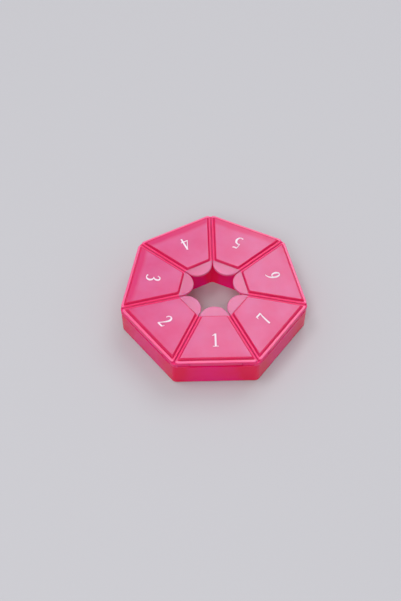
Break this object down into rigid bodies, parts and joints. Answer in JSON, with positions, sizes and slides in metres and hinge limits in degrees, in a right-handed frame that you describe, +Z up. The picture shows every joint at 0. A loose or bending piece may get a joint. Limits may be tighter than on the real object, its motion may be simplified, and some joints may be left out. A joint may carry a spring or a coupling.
{
  "type": "weekly pill box",
  "caption": "Flat heptagonal pill box of tinted clear plastic, with a hinged lid over each wedge-shaped compartment and finger tabs round an open centre.",
  "frame": {"origin": "centre of the bounding box, on the flat underside that the box rests on", "axes": "+Z up out of the lids; -Y towards the side with lid_1, which is the side nearest the camera; +X to the right of it"},
  "size_m": [0.097, 0.0947, 0.0204],
  "materials": {
    "tray_plastic": "gloss, tinted clear",
    "lid_plastic": "gloss, tinted clear, slightly milky",
    "pin_plastic": "satin, tinted"
  },
  "bodies": {
    "tray": {"tray": "tray_plastic", "hinge_pin_1": "pin_plastic", "hinge_pin_2": "pin_plastic", "hinge_pin_3": "pin_plastic", "hinge_pin_4": "pin_plastic", "hinge_pin_5": "pin_plastic", "hinge_pin_6": "pin_plastic", "hinge_pin_7": "pin_plastic"},
    "lid_1": {"lid_1": "lid_plastic"},
    "lid_2": {"lid_2": "lid_plastic"},
    "lid_3": {"lid_3": "lid_plastic"},
    "lid_4": {"lid_4": "lid_plastic"},
    "lid_5": {"lid_5": "lid_plastic"},
    "lid_6": {"lid_6": "lid_plastic"},
    "lid_7": {"lid_7": "lid_plastic"}
  },
  "joints": [
    {"name": "lid_1_hinge", "type": "hinge", "parent": "tray", "child": "lid_1", "pos_m": [0, -0.04621, 0.01655], "axis": [1, 0, 0], "range_deg": [0, 100]},
    {"name": "lid_2_hinge", "type": "hinge", "parent": "tray", "child": "lid_2", "pos_m": [-0.03432, -0.02968, 0.01655], "axis": [0.6235, -0.7818, 0], "range_deg": [0, 100]},
    {"name": "lid_3_hinge", "type": "hinge", "parent": "tray", "child": "lid_3", "pos_m": [-0.0428, 0.00746, 0.01655], "axis": [-0.2225, -0.9749, 0], "range_deg": [0, 100]},
    {"name": "lid_4_hinge", "type": "hinge", "parent": "tray", "child": "lid_4", "pos_m": [-0.01905, 0.03724, 0.01655], "axis": [-0.901, -0.4339, 0], "range_deg": [0, 100]},
    {"name": "lid_5_hinge", "type": "hinge", "parent": "tray", "child": "lid_5", "pos_m": [0.01905, 0.03724, 0.01655], "axis": [-0.901, 0.4339, 0], "range_deg": [0, 100]},
    {"name": "lid_6_hinge", "type": "hinge", "parent": "tray", "child": "lid_6", "pos_m": [0.0428, 0.00746, 0.01655], "axis": [-0.2225, 0.9749, 0], "range_deg": [0, 100]},
    {"name": "lid_7_hinge", "type": "hinge", "parent": "tray", "child": "lid_7", "pos_m": [0.03432, -0.02968, 0.01655], "axis": [0.6235, 0.7818, 0], "range_deg": [0, 100]}
  ]
}
